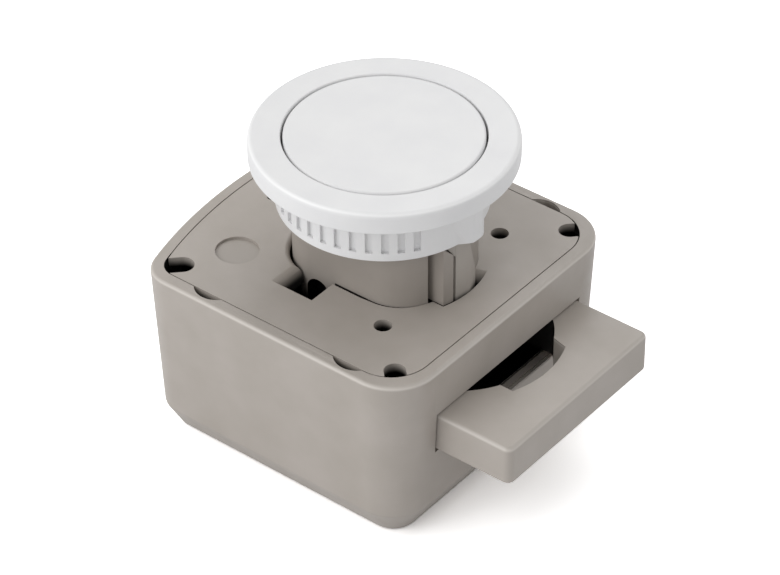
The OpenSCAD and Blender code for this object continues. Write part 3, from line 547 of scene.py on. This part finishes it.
# Spring seat and latch bracket: small blocks of natural acetal on the case's floor. One holds
# the plunger spring's lower end, the other the foot of the latch wire. Uncoloured, the acetal
# is milky, with the same soft shine.
natural = moulded_plastic("natural_acetal", "D9D6CC", "E2DFD6", 0.4, 0.15, 0.005)
dress(["spring_seat", "latch_bracket"], natural)

# Plunger spring, latch wire and leaf: spring steel, wound, bent and stamped. It is hard drawn,
# which leaves it bright and slightly darker than the plated parts.
spring_steel = bright_steel("drawn_spring_steel", "9A9C9E", "ACAEAF", 0.28)
dress(["plunger_spring", "latch_wire", "latch_leaf"], spring_steel)

# Plunger and heart cam: moulded in black and in natural acetal, which slide well. The heart
# cam's track holds the latch wire's tip and so keeps the button in.
dress(["heart_cam"], natural)
dress(["plunger"], moulded_plastic("black_acetal", "0B0B0C", "111112", 0.36, 0.15, 0.005))

# Spring washer, cross pin and button screw: zinc plated steel. The pin is pressed through the
# plunger and drives the bolt by its two slots.
dress(["spring_washer", "cam_pin", "button_screw"], zinc)

# Bolt: one flat moulding in taupe acetal. Its head has a notch that clears the tube when it is
# drawn in, and its two arms carry tall walls with the 45 degree slots of the cross pin.
bolt_low, bolt_high, bolt_tip, near_half, far_half = 12.18, 17.4, 28.93, 13.62, 13.9
notch_x, notch_y, notch_round, pocket_round, pocket_half = 10.5, 0.4, 11.62, 13.25, 5.2
arm_end, arm_inner = -8.6, 8.75


def notch_corner(radius, y):
    """The point of a circle about the notch's middle at a given y."""
    return notch_x + math.sqrt(radius ** 2 - (y - notch_y) ** 2), y


def notch_turn(radius, start_y, end_y):
    """The degrees from one y to the other on that circle."""
    start, end = [math.degrees(math.asin((y - notch_y) / radius)) for y in (start_y, end_y)]
    return end - start


step_far, step_near = notch_y + pocket_half, notch_y - pocket_half
bolt = raise_by(draw("bolt_moulding", (bolt_tip - 1, -near_half), [
    (bolt_tip - 1, -near_half + 1, 90, 6), (bolt_tip, far_half - 1),
    (bolt_tip - 1, far_half - 1, 90, 6), (arm_end, far_half), (arm_end, arm_inner),
    notch_corner(notch_round, arm_inner),
    (notch_x, notch_y, notch_turn(notch_round, arm_inner, step_far + 0.5), 6),
    notch_corner(pocket_round, step_far),
    (notch_x, notch_y, notch_turn(pocket_round, step_far, step_near), 14),
    notch_corner(notch_round, step_near),
    (notch_x, notch_y, notch_turn(notch_round, step_near, -arm_inner), 6),
    (arm_end, -arm_inner), (arm_end, -near_half)], height=bolt_low), bolt_high - bolt_low)
# Its outer edges, rounder on top than below
for level, soft in ((bolt_high, 0.6), (bolt_low, 0.25)):
    pick(bolt, "EDGE", lambda a, b: all(
        abs(p.z - level) < 0.01 and (abs(p.y) > near_half - 0.01 or p.x > bolt_tip - 1.01)
        for p in (a, b)))
    bpy.ops.mesh.bevel(offset=soft, segments=5)
bpy.ops.object.mode_set(mode="OBJECT")
# The arms' tall walls, and the 45 degree slot through both
for cheek_end in (11.37, -8.77):
    cheek = raise_by(draw("cheek", (arm_end, 5.6), [
        (5.0, 5.6), (9.6, 12.78), (13.5, 12.78), (13.5, 16.8), (12.8, 16.8), (12.8, 21.9),
        (4.12, 21.9), (arm_end, 9.18)]), 2.6)
    fuse(bolt, [stand(cheek, (90, 0, 0), (0, cheek_end, 0))])
slot = stand(capsule([(-4.75, 8.65), (10.0, 23.4)], 1.6, 26), (90, 0, 0), (0, 13, 0))
fuse(bolt, [slot], "DIFFERENCE")
# The case's acetal, with a painted highlight on its upper edges and painted shade inside the case
bolt.data.materials.append(
    moulded_plastic("satin_taupe_acetal_with_painted_edge_highlights", *taupe_shades, 0.36, 0.2,
                    painted_highlight=(16.85, 17.36, "CCC6BF")))
line_inside(bolt, painted_shade_taupe, lambda at, normal: (
    at.x < 12.9 and (at.z < bolt_low - 0.01 or at.z > bolt_high + 0.01))
    or (at.x < 20.8 and abs(at.y) < near_half - 1 and abs(normal.z) < 0.5))
finish_mould(bolt, 0.16, 34)
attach(bolt, "bolt")
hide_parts("latch_bolt")

# Cover: the flat acetal plate that closes the case, snapped into the rim by four hooks. It
# leaves the tube, the catch, the cross pin's ends and the four corner screws free.


def tube_tool(name, at_rounds, at_flats):
    """A tool for the cover's opening: the tube's outline with a gap at its rounds and flats."""
    plan = two_flats(tube_round + at_rounds, tube_flat + at_flats, tube_corner)
    return raise_by(draw(name, *plan, height=21), 5)


cover = raise_by(draw("cover_moulding", *case_plan(rim_wide + 0.15, rim_round), height=cover_seat),
                 case_high - cover_seat)
# The tube's opening: an even gap at the rear, closer ones in front, and a wider one beside the
# near flat
opening = tube_tool("opening", 0.28, 0.28)
fuse(opening, [block((2, -10, 20), (13, 10, 27))], "DIFFERENCE")
snug = tube_tool("snug", 0.08, 0.28)
fuse(snug, [block((0, 0, 20), (13, 10, 27))], "DIFFERENCE")
close = tube_tool("close", 0.02, 0.02)
wide_gap = raise_by(draw("wide_gap", (pin_front, -8.8), [
    (3.2, -8.8), (5.3, -8.62), (5.3, -8), (pin_front, -8)], height=21), 5)
fuse(opening, [snug, close, wide_gap])
fuse(cover, [opening], "DIFFERENCE")
# A soft lead-in beside the tube on the rear side
pick(cover, "EDGE", lambda a, b: all(
    p.z > case_high - 0.01 and p.x < -6 and math.hypot(p.x, p.y) < 11.6 for p in (a, b)))
bpy.ops.mesh.bevel(offset=0.75, segments=6)
bpy.ops.object.mode_set(mode="OBJECT")
# The catch's sector: upright at the rib, and a soft slope at its far end, square to the tube
catch_room = stand(raise_by(draw("catch_room", (-9, 21), [
    (-1.9, 21), (-1.9, 22.2), (-1.8, 22.6), (-1.55, 23.15), (-1.2, 23.6), (-0.8, 23.95),
    (-0.4, 24.17), (0.05, 24.3), (0.05, 26), (-9, 26)]), 12), (90, 0, 90), (4, 0, 0))
stand(catch_room, (0, 0, 21.7))
fuse(catch_room, [rod((0, 0), 12.65, 20, 27, 128)], "INTERSECT")
fuse(catch_room, [block((2, -14, 20), (14, -4.15, 27))], "DIFFERENCE")
fuse(cover, [catch_room], "DIFFERENCE")
# The windows over the cross pin, each with a rounded ramp down at its rear side
for window_end in (12.7, -8):
    ramp = draw("ramp", (-7.3, 24.27), [
        (-6.85, 24.2), (-6.45, 24.03), (-6.1, 23.77), (-5.8, 23.4), (-5.57, 22.9), (-5.4, 22.2),
        (-5.3, 21), (-0.88, 21), (-0.88, 26), (-7.3, 26)])
    fuse(cover, [stand(raise_by(ramp, 4.7), (90, 0, 0), (0, window_end, 0))], "DIFFERENCE")
# The corner notches, open to the rim, with more room over the posts below. Then the two
# locating holes, the small hole behind the tube and the shallow round recess.
for (x, y), radius in zip(screw_spots, (1.3, 1.3, 1.45, 1.45)):
    away = Vector((1 if x > 0 else -1, 1 if y > 0 else -1)) * 5
    channel = capsule([(x, y), (x + away.x, y + away.y)], radius, 6)
    fuse(cover, [stand(channel, (0, 0, 0), (0, 0, 21))], "DIFFERENCE")
fuse(cover, [rod(spot, head_room, 21, 22.95, 48) for spot in screw_spots]
     + [rod((8.61, side * 11.24), 1.1, 21, 26, 48) for side in (1, -1)]
     + [rod((-17.55, 0.1), 0.68, 21, 26, 32), rod((-14, -10.7), 2.68, case_high - 0.35, 26, 64)],
     "DIFFERENCE")
# Underneath, a skirt on each side that keeps the bolt's arm down, and two hooks beside it
for side in (1, -1):
    fuse(cover, [block((-13, min(12.15 * side, 13.35 * side), 17.55),
                       (14.65, max(12.15 * side, 13.35 * side), 22.4))])
    for x in (-11.4, 9.7):
        hook = draw("hook", (-1.2, 0.3), [
            (-0.1, 0.3), (-0.1, -2.5), (0.3, -2.9), (-0.4, -4), (-1.2, -4)])
        hook = stand(raise_by(hook, 3.2), (90, 0, 90), (x - 1.6, 18.1, cover_seat))
        if side < 0:
            hook = stand(hook, (0, 0, 180), (2 * x, 0, 0))
        fuse(cover, [hook])
# The case's acetal, with painted shade down to black in the depth of its openings
cover.data.materials.append(moulded_plastic("satin_taupe_acetal_with_painted_shade", *taupe_shades, 0.38,
                                            0.2, painted_shade=(22.9, 24.1)))
# Painted shade, near black, on its underside and skirts inside the case
line_inside(cover, painted_shade_taupe, lambda at, normal: at.z < cover_seat + 0.71)
finish_mould(cover, 0.1)
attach(cover, "case")
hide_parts("cover_plate")

# Rosette catch: a taupe acetal post that stands on the tube's foot beside the rib. Its hooked
# top snaps into the collar and so holds the rosette.
catch = raise_by(draw("catch_moulding", (10.2, -2.1), [
    (12.1, -2.0), (12.5, 0.2), (11.85, 2.15), (10.2, 2.15)], height=5), 31)
# Its right side leans in towards the top, and a small wing on its left leans over the rib
taper = draw("taper", (2.3, 25.57), [(4, 25.57), (4, 40), (-0.4, 40), (-0.4, 32.7)])
fuse(catch, [stand(raise_by(taper, 6), (90, 0, 90), (9, 0, 0))], "DIFFERENCE")
wing = stand(raise_by(draw("wing", (0.2, 30.0), [(0.2, 32.5), (-1.65, 32.5)]), 1.2),
             (90, 0, 90), (-1.2, 0, 0))
stand(wing, (0, 0, -28), (12.07, -1.98, 0))
fuse(catch, [block((10.2, -1.2, 34.6), (12.9, 0.1, 35.5)),
             block((10.2, -1.1, 32), (12.2, 1.2, 36.1)), wing])
fuse(catch, [rod((0, 0), 11.2, 4, 42, 128)], "DIFFERENCE")
finish_mould(catch, 0.12)
# The case's acetal, polished a little where the collar rubs on it, with painted shade at its foot
catch.data.materials.append(moulded_plastic("satin_taupe_acetal_of_the_catch", "A8A29B", "B0AAA3",
                                            0.34, 0.2, painted_shade=(23.2, 24.6)))
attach(catch, "case")
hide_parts("rosette_catch")

# Rosette collar: the white plastic ring that fills the door's hole. It is moulded with fine
# grooves that grip the hole, and with a key that stands out over the catch.
collar_low, collar_high, collar_round = 32.6, 38.85, 12.95
groove_floor, groove_half, groove_first, groove_step, groove_count = 12.53, 0.44, 42.08, 8.33, 35


def turned(piece, steps=144):
    """Stands a drawn half section on its axis and turns it once round, like a lathe part."""
    stand(piece, (90, 0, 0))
    bpy.ops.object.mode_set(mode="EDIT")
    bpy.ops.mesh.select_mode(type="VERT")
    bpy.ops.mesh.select_all(action="SELECT")
    bpy.ops.mesh.spin(steps=steps, angle=math.tau, center=(0, 0, 0), axis=(0, 0, 1))
    bpy.ops.mesh.select_all(action="SELECT")
    bpy.ops.mesh.remove_doubles(threshold=0.003)
    bpy.ops.mesh.normals_make_consistent(inside=False)
    bpy.ops.object.mode_set(mode="OBJECT")
    return piece


collar = turned(draw("collar_moulding", (11.45, collar_low), [
    (12.8, collar_low), (12.8, collar_low + 0.15, 90, 3), (collar_round, collar_high),
    (12.3, collar_high), (12.3, 37.6), (11.45, 37.6), (11.45, collar_low)], fill=False))
# The key: narrow at the collar's foot, with a left flank that flares towards the flange
flank = [(13.2, -1.75), (13.6, -1.3), (13.82, -0.95), (13.9, -0.5), (13.9, 0.4), (13.82, 0.9),
         (13.6, 1.35), (13.2, 1.75), (12.4, 2.5)]
key = draw("key", (12.39, -2.6), flank, height=collar_low)
crown = draw("key_crown", (11.69, -4.9), flank, height=collar_high)
bpy.ops.object.select_all(action="DESELECT")
key.select_set(True)
crown.select_set(True)
bpy.context.view_layer.objects.active = key
bpy.ops.object.join()
bpy.ops.object.mode_set(mode="EDIT")
bpy.ops.mesh.select_all(action="SELECT")
bpy.ops.mesh.convex_hull()
bpy.ops.object.mode_set(mode="OBJECT")
fuse(collar, [key])
pocket = draw("pocket", (8, -2.65), [(12.35, -2.65), (12.95, -1.25), (12.95, 1.25), (12.45, 2.4),
                                     (8, 2.4)], height=31)
fuse(collar, [raise_by(pocket, 6.2), rod((0, 0), 11.47, 31, 40, 144),
              rod((0, 0), 12.33, 37.57, 40, 144)], "DIFFERENCE")
# The collar is slimmer at its foot beside the key
slim = rod((0, 0), 14.2, 32, 36.5, 144)
bpy.ops.mesh.primitive_cone_add(vertices=144, radius1=12.5, radius2=12.97, depth=2.6,
                                location=(0, 0, 35.25))
cone = bpy.context.object
bpy.ops.object.transform_apply()
fuse(slim, [rod((0, 0), 12.5, 31, 34.2, 144), cone], "DIFFERENCE")
sector = [(20 * math.cos(math.radians(a)), 20 * math.sin(math.radians(a))) for a in (11.5, 31.5)]
fuse(slim, [raise_by(draw("sector", (0, 0), sector, height=31), 7)], "INTERSECT")
fuse(collar, [slim], "DIFFERENCE")
# The grooves: one tool, copied round the ring on both sides of the key
groove = block((groove_floor, -groove_half, collar_low + 1.1), (14, groove_half, 44))
grooves = []
for i in range(groove_count):
    bpy.ops.object.select_all(action="DESELECT")
    groove.select_set(True)
    bpy.context.view_layer.objects.active = groove
    bpy.ops.object.duplicate()
    grooves.append(stand(bpy.context.object, (0, 0, groove_first + groove_step * i)))
bpy.data.objects.remove(groove)
bpy.ops.object.select_all(action="DESELECT")
for groove in grooves:
    groove.select_set(True)
bpy.context.view_layer.objects.active = grooves[0]
bpy.ops.object.join()
fuse(collar, [grooves[0]], "DIFFERENCE")
finish_mould(collar, 0, 34)
# Satin white plastic of the rosette: a little smoother than the case, so its shine is tighter
white_shades = ("E0E0E1", "E5E5E5")
white_plastic = moulded_plastic("satin_white_plastic", *white_shades, 0.34, 0.12)
collar.data.materials.append(white_plastic)
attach(collar, "case")
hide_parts("rosette_collar")

# Rosette flange: the white plastic ring in front of the door, moulded with a short spigot that
# snaps into the collar
bezel = turned(draw("flange_moulding", (12.1, 38.85), [
    (11.45, 38.85), (11.45, 37.6), (12.25, 37.6), (12.25, 38.85), (15.9, 38.78), (16.0, 38.88),
    (16.0, 40.8), (15.25, 40.8, 90, 8), (12.3, 41.55), (12.3, 41.35, 90, 4), (12.1, 38.85)],
    fill=False), 160)
finish_mould(bezel, 0.05, 30)
# The same white, with a painted highlight along its upper edge
bezel.data.materials.append(
    moulded_plastic("satin_white_plastic_with_a_painted_edge_highlight", *white_shades, 0.34, 0.12,
                    painted_highlight=(41.1, 41.52, "F8F8F8")))
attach(bezel, "case")
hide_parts("rosette_bezel")

# Button carrier: the drum under the button, moulded in the same white plastic. A screw through
# its middle holds it to the plunger.
dress(["button_carrier"], white_plastic)

# Push button: a white plastic cap, flush with the flange while the lock is shut. It is moulded
# with a low skirt that snaps on the carrier's short spigot.
button = turned(draw("button_moulding", (0, 40.55), [
    (9.0, 40.55), (9.0, 39.95), (11.85, 39.95), (11.85, 41.2), (11.5, 41.2, 90, 6), (0, 41.55)],
    fill=False), 160)
finish_mould(button, 0, 30)
button.data.materials.append(white_plastic)
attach(button, "button")
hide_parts("push_button")
